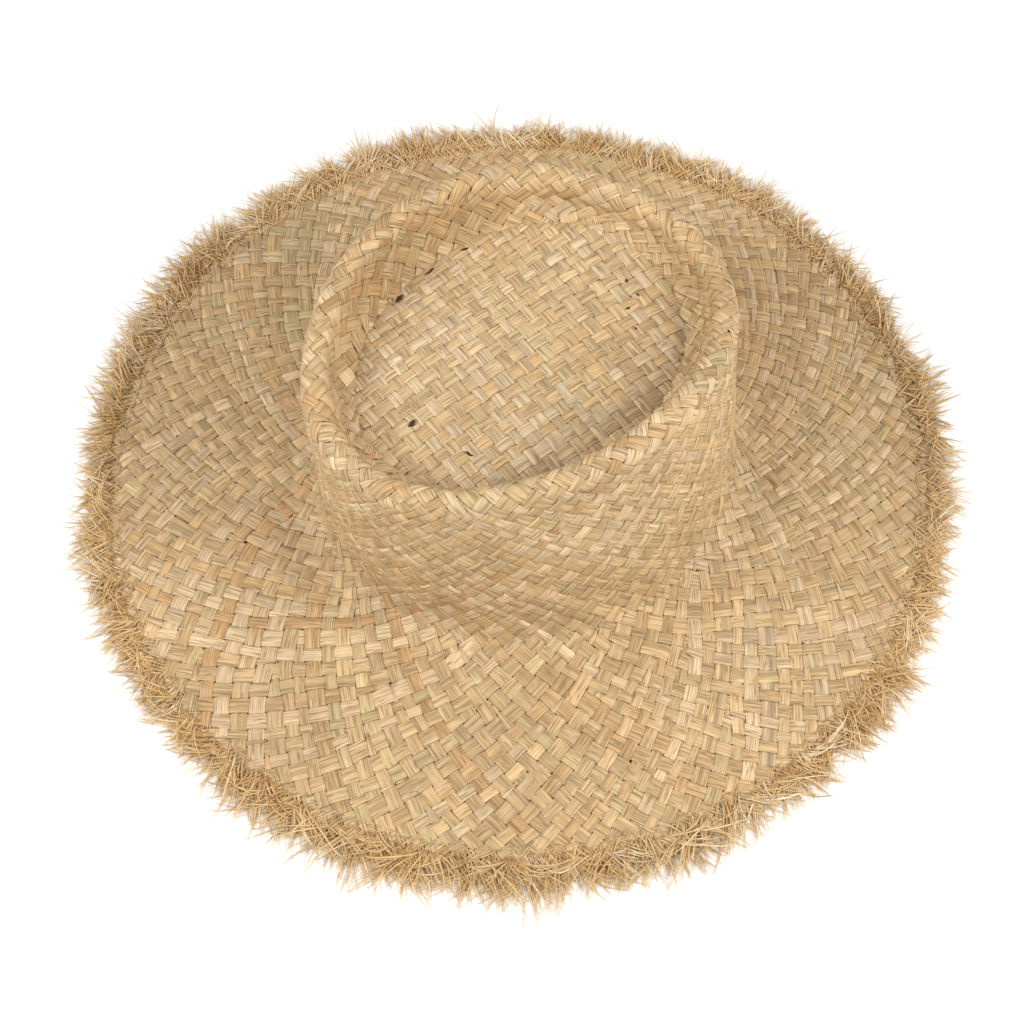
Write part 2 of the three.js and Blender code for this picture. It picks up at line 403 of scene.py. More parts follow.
class Strand:
    """One strand's own width, fibres and colours. It is one to four flat fibres side by side."""

    # Places across the strand for the top of its section, and the two lower corners.
    TOP = np.array([-1.0, -0.88, -0.45, -0.12, 0.12, 0.45, 0.88, 1.0])
    ACROSS = np.concatenate([TOP, [0.7, -0.7]])
    EDGE_SAG = 0.10
    # Painted shadow: the strand's two edges are darkened to this share of their colour.
    EDGE_SHADE = 0.32
    GROOVE_WIDTH = 0.14

    def __init__(self, rng, lighten=(1, 1, 1)):
        self.number = rng.uniform(0, 500)
        self.cover = rng.uniform(0.94, 1.01)
        fibres = rng.choice([1, 2, 3, 4], p=[0.2, 0.25, 0.35, 0.2])
        self.grooves = np.sort(rng.uniform(-0.75, 0.75, fibres - 1))
        self.depth = rng.uniform(0.35, 0.95)
        base = pick_colour(rng, STRAW_COLOURS) * lighten
        self.tints = [base * rng.uniform(0.92, 1.06) for _ in range(fibres)]
        self.drift = rng.uniform(0, 10, 2)
        self.heights, self.shade = self.section()

    def section(self):
        """Heights of the section's vertices above the strand's middle, and their painted shade."""
        crown = (1 - np.abs(self.TOP) ** 8) * (1 - 0.18 * self.TOP**2)
        notch = np.zeros_like(self.TOP)
        for groove in self.grooves:
            notch = np.maximum(notch, np.exp(-((self.TOP - groove) / self.GROOVE_WIDTH) ** 2))
        top = STRAND_THICKNESS * (crown - 0.5 - notch * self.depth * 0.55)
        heights = np.concatenate([top, np.full(2, -STRAND_THICKNESS / 2)])
        # Painted shade: darker in the grooves between the fibres and on the two lower corners.
        shade = np.concatenate([1 - 0.38 * notch * self.depth, [0.8, 0.8]])
        # Painted shadow along both edges, where the strand meets its neighbours.
        shade[[0, len(self.TOP) - 1]] *= self.EDGE_SHADE
        return heights - self.EDGE_SAG * np.abs(self.ACROSS) ** 3, shade

    def paint(self, along):
        """Colour at each vertex, drifting slowly along the strand."""
        fibre = np.searchsorted(self.grooves, self.ACROSS)
        tint = np.array([self.tints[i] for i in fibre])
        slow, quick = np.sin(along / 23 + self.drift[0]), np.sin(along / 7 + self.drift[1])
        drift = 1 + 0.05 * slow + 0.05 * quick
        return drift[:, None, None] * (tint * self.shade[:, None])[None]

    def grain(self, along, half_width):
        return grain_of(along, self.ACROSS * half_width[:, None], self.number)


def over_and_under(wave):
    """Squares off the strand's wave, so that it lies flat over a crossing and dives between."""
    return np.tanh(2.2 * wave) / math.tanh(2.2) * STRAND_RISE


# ---- The spiral weave of the crown's side and the brim ----

class Family:
    """All the strands that spiral one way, in their order round the hat.

    hand is +1 where they turn anticlockwise on their way out and -1 where clockwise. A strand's
    place is its part of the way round the ring, measured from a line that spirals with the family.
    A new strand grows from nothing over GROWTH, and the strands beside it give way.
    """

    GROWTH = 0.13
    EASE = 0.25  # share of the uneven width made good at each row
    WEIGHTS = (0.76, 1.24)

    def __init__(self, hand, rng, count):
        self.hand = hand
        self.rng = rng
        self.ids = np.arange(count)
        self.joined = np.full(count, -1.0)
        self.weights = rng.uniform(*self.WEIGHTS, count)
        self.starts = (np.cumsum(self.weights) - self.weights) / self.weights.sum()
        self.rows = []

    def place(self, turn, angle):
        return ((angle - self.hand * turn) / math.tau) % 1

    def crowding(self, turn, angle):
        """The strands' weight near each angle, which is least where the strands are widest."""
        reach = 0.035
        place = self.place(turn, angle)
        edges = np.concatenate([self.starts - 1, self.starts, self.starts + 1])
        weight = np.concatenate([[0], np.cumsum(np.tile(self.weights, 3))])[:-1]
        return np.interp(place + reach, edges, weight) - np.interp(place - reach, edges, weight)

    def join(self, turn, angle):
        """Puts a new strand between its neighbours at a place on the hat."""
        place = self.place(turn, angle)
        position = 1 + int(np.argmin(abs(self.starts[1:] - place)))
        self.ids = np.insert(self.ids, position, len(self.ids))
        self.joined = np.insert(self.joined, position, turn)
        self.weights = np.insert(self.weights, position, self.rng.uniform(*self.WEIGHTS))
        self.starts = np.insert(self.starts, position, self.starts[position])

    def spread(self, turn):
        """Eases the strands towards their own widths, and keeps the row of places."""
        age = np.clip((turn - self.joined) / self.GROWTH, 0, 1)
        natural = self.weights * age * age * (3 - 2 * age)
        natural /= natural.sum()
        spare = np.diff(np.append(self.starts, 1.0)) - natural
        self.starts[1:] += self.EASE * np.diff(spare)
        widths = np.diff(np.append(self.starts, 1.0))
        self.rows.append((self.ids.copy(), self.starts.copy(), widths))

    def settle(self, grid):
        """Gathers the rows of places into arrays of rows by strands in their final order."""
        self.grid = grid
        starts = np.zeros((len(grid), len(self.ids)))
        widths = np.zeros_like(starts)
        for row, (ids, start, width) in enumerate(self.rows):
            starts[row, ids] = start
            widths[row, ids] = width
        self.start_rows = starts[:, self.ids]
        self.width_rows = widths[:, self.ids]

    def strand_at(self, i, turn, across):
        """Angle at a place across strand i, from -1 to 1, at each turn."""
        start = np.interp(turn, self.grid, self.start_rows[:, i])
        width = np.interp(turn, self.grid, self.width_rows[:, i])
        return self.hand * turn + math.tau * (start + width * (1 + across) / 2)

    def half_angle(self, i, turn):
        return math.pi * np.interp(turn, self.grid, self.width_rows[:, i])

    def rank(self, i, turn):
        """How many strands of the family have joined before strand i in the order, at each turn."""
        return (self.joined[None, :i] < turn[:, None]).sum(1)

    def crossing(self, turn, angle):
        """Counts this family's strands up to each place, as rank plus the part of the next."""
        place = self.place(turn, angle)
        row = np.clip(np.round(turn / self.grid[1]).astype(int), 0, len(self.grid) - 1)
        starts = self.start_rows[row]
        live = self.joined[None] < turn[:, None]
        reached = (starts <= place[:, None]) & live
        last = reached.shape[1] - 1 - np.argmax(reached[:, ::-1], 1)
        pick = np.arange(len(turn))
        width = np.maximum(self.width_rows[row, last], 1e-6)
        part = np.clip((place - starts[pick, last]) / width, 0, 1)
        return reached.sum(1) - 1 + part


def plant_strands(left, right, rng):
    """Works outwards row by row, and adds strands as the hat widens.

    A new strand of each family starts at the same place, as a strand folded into a V does. They
    come in pairs either side of the x axis, which keeps the number of strands even, so that over
    and under agree all the way round.
    """
    grid = np.linspace(0, SKIN.end, WEAVE_ROWS)
    angles = np.linspace(JOIN_CLEARANCE, math.pi - JOIN_CLEARANCE, 160)
    for turn in grid:
        wanted = math.tau * SKIN.radius_at(turn) / (CELL * math.sqrt(2))
        if wanted - len(left.ids) > 2 and turn < SKIN.end - LAST_JOIN:
            crowding = rng.uniform(0, 0.9, len(angles))
            for family in (left, right):
                crowding += family.crowding(turn, angles) + family.crowding(turn, -angles)
            angle = angles[np.argmin(crowding)]
            for side in (angle, -angle):
                left.join(turn, side)
                right.join(turn, side)
        for family in (left, right):
            family.spread(turn)
    for family in (left, right):
        family.settle(grid)


def spiral_strand(family, other, i, strand, first, last):
    """Rings of vertices for one strand between two turns, or None where it is too short."""
    first = max(first, family.joined[i] + YOUNGEST_STRAND)
    if last - first < SHORTEST_STRAND:
        return None
    turns = [first]
    while turns[-1] < last:
        turns.append(turns[-1] + STEP_LENGTH / (math.sqrt(2) * float(SKIN.radius_at(turns[-1]))))
    turn = np.array(turns)
    turn[-1] = last
    middle = family.strand_at(i, turn, 0.0)
    half = family.half_angle(i, turn)
    sign = 1 - 2 * (family.rank(i, turn) % 2)
    wave = family.hand * sign * np.sin(math.pi * other.crossing(turn, middle))
    lift = over_and_under(wave)
    across = strand.ACROSS[None] * strand.cover
    vertex_turn = turn[:, None] - family.hand * across * half[:, None] / 2
    vertex_turn = np.clip(vertex_turn, 0, SKIN.end)
    vertex_angle = family.strand_at(i, vertex_turn, across)
    offset = (lift[:, None] + strand.heights)[..., None]
    rings = SKIN.at(vertex_turn, vertex_angle) + SKIN.normal(vertex_turn, vertex_angle) * offset
    steps = np.linalg.norm(np.diff(rings.mean(1), axis=0), axis=1)
    along = np.concatenate([[0], np.cumsum(steps)])
    half_width = half * SKIN.radius_at(turn) / math.sqrt(2)
    paler = 1.02 + 0.05 * np.clip((SKIN.crease - turn) / 0.3, 0, 1)
    return rings, strand.paint(along) * paler[:, None, None], strand.grain(along, half_width)


def spiral_weave(material):
    """The pieces of the crown's side and the brim, and the two families that the fringe goes on."""
    rng = np.random.default_rng(11)
    start_count = 2 * round(math.pi * SKIN.radius_at(0.0) / (CELL * math.sqrt(2)))
    left = Family(1, rng, start_count)
    right = Family(-1, rng, start_count)
    plant_strands(left, right, rng)
    for family in (left, right):
        family.ends = SKIN.end - rng.uniform(0, EDGE_UNEVENNESS, len(family.ids)) / BRIM_RADIUS
    pieces = {"crown_side": [], "brim": []}
    for family, other, name in ((left, right, "left"), (right, left, "right")):
        bundles = {zone: Bundle() for zone in pieces}
        for i, end in enumerate(family.ends):
            strand = Strand(rng)
            for zone, first, last in (("crown_side", 0.0, SKIN.crease), ("brim", SKIN.crease, end)):
                made = spiral_strand(family, other, i, strand, first, last)
                if made is not None:
                    bundles[zone].add(*made)
        for zone, bundle in bundles.items():
            pieces[zone].append(bundle.build(f"{zone}_strands_{name}", material))
    return pieces, (left, right)


# ---- The straight weave of the tip ----

def tip_surface(x, y):
    """The place on the dent's floor of a point of the flat weave, measured from its middle."""
    far = np.minimum(np.hypot(x / DENT_FLOOR[0], y / DENT_FLOOR[1]), 1.1)
    turned = np.arctan2(y / DENT_FLOOR[1], x / DENT_FLOOR[0])
    inward = 1 - far
    dome = TIP_DOME * inward * (2 - inward)
    dip = DENT_FLOOR_DIP * far * far * np.sin(turned) ** 2
    ripple = 0.35 * np.sin(x / 9 + 1) * np.sin(y / 11)
    raised = FLOOR_CLIMB * far**3 * climbing(turned)
    x, y = x + raised / 2 * np.cos(turned), y + raised / 2 * np.sin(turned)
    return off_centre(x, y, DENT_FLOOR_HEIGHT + dome - dip + ripple + raised, CREST_LEAN)


def tip_strand(strand, place, half, reach, lines, sign, along_x):
    """One straight strand of the tip, crossing the lines between the other family's strands."""
    count = int(2 * reach / STEP_LENGTH) + 1
    along = np.linspace(-reach, reach, count) * (1 if along_x else -1)
    crossing = np.interp(along, lines, np.arange(len(lines)))
    lift = over_and_under(sign * np.sin(math.pi * crossing))
    across = place + strand.ACROSS * strand.cover * half
    x, y = np.broadcast_arrays(along[:, None], across)
    rings = tip_surface(x, y) if along_x else tip_surface(y, x)
    rings[..., 2] += lift[:, None] + strand.heights
    return rings, strand.paint(along), strand.grain(along, np.full(count, half))


def strand_lines(rng, half_span):
    """Lines between parallel strands of varied width, centred on the tip's middle."""
    widths = rng.uniform(0.75, 1.25, 2 * math.ceil(half_span / CELL) + 2) * CELL
    lines = np.concatenate([[0], np.cumsum(widths)])
    return lines - lines[-1] / 2


def tip_weave(material):
    rng = np.random.default_rng(29)
    tuck = 0.6  # how far the ends run in under the dent's wall
    oval = DENT_FLOOR + tuck
    lines = [strand_lines(rng, oval[0]), strand_lines(rng, oval[1])]
    pieces = []
    for axis, name in ((0, "across"), (1, "along")):
        bundle = Bundle()
        own, crossed = lines[1 - axis], lines[axis]
        for i, (low, high) in enumerate(zip(own, own[1:])):
            place = (low + high) / 2
            share = abs(place) / oval[1 - axis]
            strand = Strand(rng, TIP_LIGHTENING)
            if share > 0.985:
                continue
            reach = oval[axis] * math.sqrt(1 - share * share)
            sign = (1 if axis == 0 else -1) * (1 - 2 * (i % 2))
            half = (high - low) / 2
            bundle.add(*tip_strand(strand, place, half, reach, crossed, sign, axis == 0))
        pieces.append(bundle.build(f"crown_tip_strands_{name}", material))
    return pieces


# ---- The fringe ----

def fibre(rng, root, heading, length, width, tone, wildness, bow=0.0, root_shade=0.85, roll=0.6):
    """A thin flat fibre that bends as it goes, as rings, colours and grain."""
    steps, sides = 9, 4
    step = length / (steps - 1)
    bend = bow + rng.normal(0, 0.025) * wildness
    curl = rng.normal(0, 0.035) * wildness
    droop = rng.normal(-0.04, 0.06) * wildness
    points, directions = [root], [unit(heading)]
    for k in range(steps - 1):
        side = unit(np.cross(directions[-1], UP))
        direction = unit(directions[-1] + side * (bend + curl * k / 4) + UP * droop)
        point = points[-1] + direction * step
        point[2] = max(point[2], 0.25 + width / 2)
        points.append(point)
        directions.append(direction)
    side = unit(np.cross(directions, UP))
    up = np.cross(side, directions)
    twist = rng.normal(0, roll) + np.linspace(0, rng.normal(0, 1.2), steps)[:, None]
    flat_way = side * np.cos(twist) + up * np.sin(twist)
    thin_way = -side * np.sin(twist) + up * np.cos(twist)
    taper = (1 - 0.8 * np.linspace(0, 1, steps) ** 2.2)[:, None] * width / 2
    corners = ((1, 0), (0, 0.35), (-1, 0), (0, -0.35))
    rings = np.stack([points + (flat_way * a + thin_way * b) * taper for a, b in corners], 1)
    rings[..., 2] = np.maximum(rings[..., 2], 0.1)
    # Painted shade: darker and warmer towards the root, where the fibres shade each other.
    reached = np.minimum(np.linspace(0, 1.7, steps), 1)[:, None, None]
    shade = root_shade ** np.array([1.0, 1.5, 2.2])
    colours = np.broadcast_to(tone, rings.shape) * (shade + (1.06 - shade) * reached)
    across = np.arange(sides) * width / 4
    return rings, colours, grain_of(np.linspace(0, length, steps), across, rng.uniform(0, 500))


def strand_end(family, i, back, across):
    """Place and direction on the skin near strand i's end."""
    turn = family.ends[i] - np.array([back, back + 2]) / BRIM_RADIUS
    here, behind = SKIN.at(turn, family.strand_at(i, turn, across))
    return here, here - behind


def brush(rng, family, i):
    """The fibres that strand i of a family is split into, each with the place of its root.

    A few flat ribbons carry the strand on, and many finer fibres stand over and under them.
    """
    tone = pick_colour(rng, FRINGE_COLOURS)
    lean, bow = rng.normal(0, 0.3), rng.normal(0, 0.05)
    stand = rng.normal(0.12, 0.14)
    fullness = rng.uniform(0.7, 1.15)
    front = level_way(BRIM_FRONT)
    ribbons = int(rng.integers(*RIBBONS))
    for k in range(ribbons + int(rng.integers(*FINE_FIBRES))):
        ribbon = k < ribbons
        across = (2 * k + 1) / ribbons - 1 if ribbon else rng.uniform(-1.0, 1.0)
        back = 3.5 if ribbon else rng.uniform(-5.0, 1.0)
        root, ahead = strand_end(family, i, back, across)
        root[2] += 0.35 if ribbon else rng.uniform(0.1, 1.3)
        outward = root / np.hypot(root[0], root[1]) * (1, 1, 0)
        sideways = np.cross(UP, outward)
        fan = lean + rng.normal(0, 0.12)
        fan = fan * (0.15 if ribbon else 1) + family.hand * across * 0.1
        heading = unit(ahead) + outward * (0.25 if ribbon else 0.65) + sideways * fan
        heading[2] = 0.03 if ribbon else stand + rng.normal(0, 0.1)
        length = rng.uniform(*FIBRE_LENGTHS) * fullness * (1 + 0.38 * max(outward @ front, 0))
        golden = tone * 0.5 + pick_colour(rng, FRINGE_COLOURS) * 0.5
        if ribbon:
            plain = pick_colour(rng, STRAW_COLOURS) * 1.08
            length, width = 4 + rng.uniform(0.5, 0.9) * length, RIBBON_ROOM / ribbons
            yield root, fibre(rng, root, heading, length, width, plain, 1.0, bow, 0.9, 0.0)
        else:
            wildness = 4.0 if rng.random() < 0.06 else rng.uniform(0.6, 1.8)
            width = rng.uniform(0.4, 1.2)
            yield root, fibre(rng, root, heading, length, width, golden, wildness, bow, 0.82)


def fringe(families, material):
    """Every strand of the brim goes on past the weave as a brush of split fibres."""
    rng = np.random.default_rng(5)
    bundles = [Bundle() for _ in range(FRINGE_TUFTS)]
    for family in families:
        for i in range(len(family.ids)):
            for root, made in brush(rng, family, i):
                if np.abs(made[0][..., :2]).max() < BRIM_EDGE.max() + FRINGE_REACH:
                    place = math.atan2(root[1], root[0]) / (math.tau / FRINGE_TUFTS)
                    bundles[math.floor(place) % FRINGE_TUFTS].add(*made)
    return [bundle.build(f"fringe_tuft_{k + 1:02d}", material) for k, bundle in enumerate(bundles)]


def loose_fibres(material):
    """Stray ends that stand a little proud of the weave."""
    rng = np.random.default_rng(41)
    bundle = Bundle()
    for _ in range(STRAY_FIBRES):
        turn = rng.uniform(0.1, SKIN.end - 0.04)
        angle = rng.uniform(0, math.tau)
        place, normal = SKIN.at(turn, angle), SKIN.normal(turn, angle)
        ahead = SKIN.at(turn + 0.03, angle + rng.choice([-1, 1]) * 0.03) - place
        heading = unit(ahead) + normal * rng.uniform(0.08, 0.4)
        tone = pick_colour(rng, STRAW_COLOURS)
        length, width = rng.uniform(3, 9), rng.uniform(0.25, 0.5)
        bundle.add(*fibre(rng, place + normal * 0.45, heading, length, width, tone, 1.8))
    return bundle.build("stray_fibres", material)


# Dark tubes of painted shadow in the dent: angle in degrees, share of the way to its wall, length
# and width.
SLITS = (
    (-160, 0.95, 5.5, 2.4), (-175, 0.95, 6.0, 1.3), (170, 0.95, 4.0, 1.2),
    (-90, 0.75, 5.0, 2.8), (-55, 0.75, 4.5, 1.4),
    (95, 0.8, 2.2, 1.2), (85, 0.8, 2.4, 1.4), (80, 0.7, 2.6, 1.3), (65, 0.7, 1.6, 1.1),
)


def painted_shadow_slits(material):
    """Painted shadow: dark tubes laid on the dent where its weave looks parted, one side paler."""
    rng = np.random.default_rng(3)
    bundle = Bundle()
    steps = 9
    t = np.linspace(-1, 1, steps)
    around = spokes(6)
    # One side of each tube is made paler, as painted light on the gap's edge.
    shade = np.where(np.cos(around) > 0.8, 4.0, 1.0)[:, None]
    for degrees, share, length, width in SLITS:
        angle = math.radians(degrees)
        x, y = DENT_FLOOR * share * level_way(angle)[:2]
        across = rng.choice([0, math.pi / 2]) + rng.normal(0, 0.25)
        if share > 0.9:  # beside the wall a slit runs along it
            across = angle + math.pi / 2
        way = level_way(across)
        side = np.cross(UP, way)
        half = width / 2 * (1 - np.abs(t) ** 1.5) ** 0.8 * rng.uniform(0.8, 1.15, steps) + 0.02
        drift = np.cumsum(rng.normal(0, 0.12, steps))
        flat = np.array([x, y, 0]) + way * (t * length / 2)[:, None] + side * drift[:, None]
        place = tip_surface(flat[:, 0], flat[:, 1])
        place[:, 2] += STRAND_RISE + 0.28
        rings = place[:, None] + half[:, None, None] * np.cos(around)[:, None] * side
        rings[..., 2] += 0.06 * np.sin(around)
        grain = grain_of(t * length, np.cos(around), rng.uniform(0, 500))
        bundle.add(rings, SLIT_SHADOW_TONE * shade, grain)
    return bundle.build("painted_shadow_slits", material)


# ---- Sweatband, stitches and labels ----

def inside(angle, height, inset):
    """A place inside the crown's wall, by height at its sides and inset from the weave's middle."""
    angle, height, inset = np.broadcast_arrays(angle, height, inset)
    share = (height - WALL_LOW[2]) / (WALL_HIGH[2] - WALL_LOW[2])
    x, y, level, dip, lean, _ = (a + (b - a) * share for a, b in zip(WALL_LOW, WALL_HIGH))
    level = level - dip * np.sin(angle) ** 2
    return off_centre((x - inset) * np.cos(angle), (y - inset) * np.sin(angle), level, lean)


def stand_off(angle, height):
    """How far the band's free upper part stands in from the wall, in slow waves."""
    free = np.clip((height - BAND_FOOT - BAND_STITCH_INSET) / BAND_HEIGHT, 0, 1)
    return free**2 * (0.7 + 0.35 * np.sin(9 * angle + 1) + 0.25 * np.sin(14 * angle + 2.3))


def cloth_strip(bundle, angles, foot, height, inset, thickness, tone, rib=0.0):
    """A flat strip along the inside of the wall, with rounded edges, ribs and an even thickness."""
    share = np.concatenate([[0, 0.015, 0.05], np.linspace(0.12, 0.88, 7), [0.95, 0.985, 1]])
    levels = foot + height * share
    edge = np.minimum(share, 1 - share) * height
    body = np.sqrt(np.clip(edge / (thickness * 0.6), 0.02, 1))
    angle = angles[:, None]
    ribs = rib * (np.arange(len(angles)) % 2)[:, None]
    middle = inset + thickness / 2 + stand_off(angle, levels[None])
    outer = inside(angle, levels[None], middle - body * thickness / 2)
    inner = inside(angle, levels[None], middle + body * (thickness / 2 + ribs))
    rings = np.concatenate([outer, inner[:, ::-1]], 1)
    across = np.concatenate([share, share[::-1]]) * height
    bundle.add(rings, tone, grain_of(angles * HEAD_RADIUS, across, inset))


def strip_angles(middle, width, pitch):
    """Angles along a strip of a given width, centred at an angle inside the crown."""
    half = width / HEAD_RADIUS / 2
    return np.linspace(middle - half, middle + half, max(int(width / pitch), 8))


def stitch(bundle, rng, start, end, normal, tone):
    """One stitch of thread between two holes, standing a little proud in its middle."""
    t = np.linspace(0, 1, 7)[:, None]
    path = start + (end - start) * t + normal * THREAD * (0.55 * np.sin(math.pi * t) ** 0.6 - 0.15)
    side = np.cross(unit(end - start), normal)
    up = np.cross(side, unit(end - start))
    around = spokes(6)
    spoke = np.cos(around)[:, None] * side + np.sin(around)[:, None] * up
    girth = THREAD / 2 * (0.55 + 0.45 * np.sin(math.pi * t) ** 0.5)
    rings = path[:, None] + girth[:, None] * spoke[None]
    along = t[:, 0] * np.linalg.norm(end - start)
    grain = grain_of(along, around * THREAD / 2, rng.uniform(0, 500))
    bundle.add(rings, tone * rng.uniform(0.9, 1.08), grain)


def wall_stitch(bundle, rng, start, end, inset, tone):
    """A stitch between two places (angle, height) on what lies inside the wall."""
    ends = [inside(a, h, inset + stand_off(a, h)) for a, h in (start, end)]
    stitch(bundle, rng, *ends, -level_way((start[0] + end[0]) / 2), tone)


def level_stitch(bundle, rng, angle, height, length, inset, tone):
    end = (angle + length / HEAD_RADIUS, height)
    wall_stitch(bundle, rng, (angle, height), end, inset, tone)


RIBBON_TONE = np.array([0.66, 0.54, 0.37])
LABEL_TONE = np.array([0.82, 0.79, 0.71])
THREAD_TONE = np.array([0.60, 0.45, 0.25])


def sweatband(ribbon, thread):
    """The band, its stitches and its lap, as a table of frame nodes to pieces and slots."""
    rng = np.random.default_rng(17)
    girth = math.tau * HEAD_RADIUS
    on_band = BAND_INSET + BAND_THICKNESS

    band = Bundle()
    angles = np.linspace(BACK - math.tau, BACK, int(girth / RIB_PITCH * 2))
    size = (BAND_FOOT, BAND_HEIGHT, BAND_INSET, BAND_THICKNESS)
    cloth_strip(band, angles, *size, RIBBON_TONE, RIB_DEPTH)

    stitches = Bundle()
    pitch, length = BAND_STITCH
    for k in range(int(girth / pitch)):
        start = BACK + k * pitch / HEAD_RADIUS
        level = BAND_FOOT + BAND_STITCH_INSET + rng.normal(0, 0.12)
        level_stitch(stitches, rng, start, level, length, on_band, THREAD_TONE)

    join = Bundle()
    lap = strip_angles(BACK, JOIN_WIDTH, RIB_PITCH / 2)
    size = (LABEL_FOOT, JOIN_HEIGHT, on_band + 0.05, BAND_THICKNESS)
    cloth_strip(join, lap, *size, RIBBON_TONE * 0.97, RIB_DEPTH)
    pitch, length = JOIN_STITCH
    for side in (-1, 1):
        angle = BACK + side * (JOIN_WIDTH / 2 - JOIN_STITCH_INSET) / HEAD_RADIUS
        for k in range(int((JOIN_HEIGHT - 3) / pitch)):
            level = LABEL_FOOT + JOIN_STITCH_INSET + k * pitch
            inset = on_band + BAND_THICKNESS + 0.1
            wall_stitch(stitches, rng, (angle, level), (angle, level + length), inset, THREAD_TONE)
    return {
        "sweatband": (band.build("sweatband_ribbon", ribbon), "ribbon"),
        "sweatband_stitches": (stitches.build("sweatband_thread", thread), "thread"),
        "sweatband_join": (join.build("sweatband_lap", ribbon), "ribbon"),
    }


def label(name, size, angle, cloth):
    """A blank woven tab with a folded hem at its top and bottom, sewn along the top."""
    rng = np.random.default_rng(len(name))
    width, height = size
    hem, hem_thickness = LABEL_HEM
    top = LABEL_FOOT + height - hem
    inset = BAND_INSET + BAND_THICKNESS + 0.15
    bundle = Bundle()
    angles = strip_angles(angle, width, 0.6)
    cloth_strip(bundle, angles, LABEL_FOOT, height, inset, LABEL_THICKNESS, LABEL_TONE)
    for foot in (LABEL_FOOT, top):
        cloth_strip(bundle, angles, foot, hem, inset + 0.3, hem_thickness, LABEL_TONE * 0.97)
    pitch, length = LABEL_STITCH
    level = top + hem / 2
    count = int((width - 2) / pitch)
    for k in range(count):
        start = angle + ((k - count / 2) * pitch + 0.4) / HEAD_RADIUS
        level_stitch(bundle, rng, start, level, length, inset + 0.6, LABEL_TONE * 0.9)
    return bundle.build(name, cloth)


def brim_stitches(thread):
    """The row of thread that holds the last rows of the weave."""
    rng = np.random.default_rng(23)
    bundle = Bundle()
    pitch, share = EDGE_STITCH
    turn = SKIN.end - EDGE_STITCH_INSET / BRIM_RADIUS
    count = int(math.tau * (BRIM_RADIUS - EDGE_STITCH_INSET) / pitch)
    for k in range(count):
        angle = math.tau * k / count
        ends = (angle, angle + math.tau / count * share)
        start, end = (SKIN.at(turn, a) + SKIN.normal(turn, a) * 0.42 for a in ends)
        stitch(bundle, rng, start, end, UP, THREAD_TONE * 0.92)
    return bundle.build("brim_edge_thread", thread)


# ---- Materials ----

class Nodes:
    """One material's nodes. Each helper makes a node and gives back its output."""

    def __init__(self, name):
        self.material = bpy.data.materials.new(name)
        self.material.use_nodes = True
        self.tree = self.material.node_tree

    def feed(self, inputs, values):
        """Links each input to a socket, or sets it to a plain number or colour."""
        for key, value in values.items():
            if isinstance(value, bpy.types.NodeSocket):
                self.tree.links.new(value, inputs[key])
            else:
                inputs[key].default_value = value

    def new(self, kind, output, inputs, **settings):
        node = self.tree.nodes.new(kind)
        for key, value in settings.items():
            setattr(node, key, value)
        self.feed(node.inputs, inputs)
        return node.outputs[output]

    def shade(self, values):
        """Feeds the shader, and gives back the finished material."""
        self.feed(self.tree.nodes["Principled BSDF"].inputs, values)
        return self.material

    def attribute(self, name, output):
        return self.new("ShaderNodeAttribute", output, {}, attribute_name=name)

    def noise(self, vector, scale, detail=3.0, roughness=0.55):
        inputs = {"Vector": vector, "Scale": scale, "Detail": detail, "Roughness": roughness}
        return self.new("ShaderNodeTexNoise", "Fac", inputs)

    def stretch(self, vector, scale):
        inputs = {0: vector, 1: scale}
        return self.new("ShaderNodeVectorMath", "Vector", inputs, operation="MULTIPLY")

    def span(self, value, low, high, from_low=0.25, from_high=0.75):
        inputs = {"Value": value, "From Min": from_low, "From Max": from_high}
        inputs |= {"To Min": low, "To Max": high}
        return self.new("ShaderNodeMapRange", "Result", inputs)

    def bands(self, vector, direction, period, distortion):
        """Stripes whose period is in the vector's units. A wave texture repeats every pi / 10."""
        inputs = {"Vector": vector, "Scale": math.pi / 10 / period, "Distortion": distortion}
        kind = {"wave_type": "BANDS", "bands_direction": direction}
        return self.new("ShaderNodeTexWave", "Fac", inputs, **kind)

    def math(self, operation, a, b):
        return self.new("ShaderNodeMath", "Value", {0: a, 1: b}, operation=operation)

    def mix(self, factor, a, b, blend="MIX"):
        inputs = {"Factor": factor, 6: a, 7: b}  # sockets 6 and 7 are the colours A and B
        return self.new("ShaderNodeMix", 2, inputs, data_type="RGBA", blend_type=blend)

    def bump(self, height, strength, distance):
        inputs = {"Strength": strength, "Distance": distance, "Height": height}
        return self.new("ShaderNodeBump", "Normal", inputs)


WARM_STREAK = (0.44, 0.23, 0.09, 1)
PALE_STREAK = (0.66, 0.53, 0.35, 1)
# Painted shade in the splits between the straw's fibres.
SPLIT_SHADE_TONE = (0.21, 0.125, 0.05, 1)


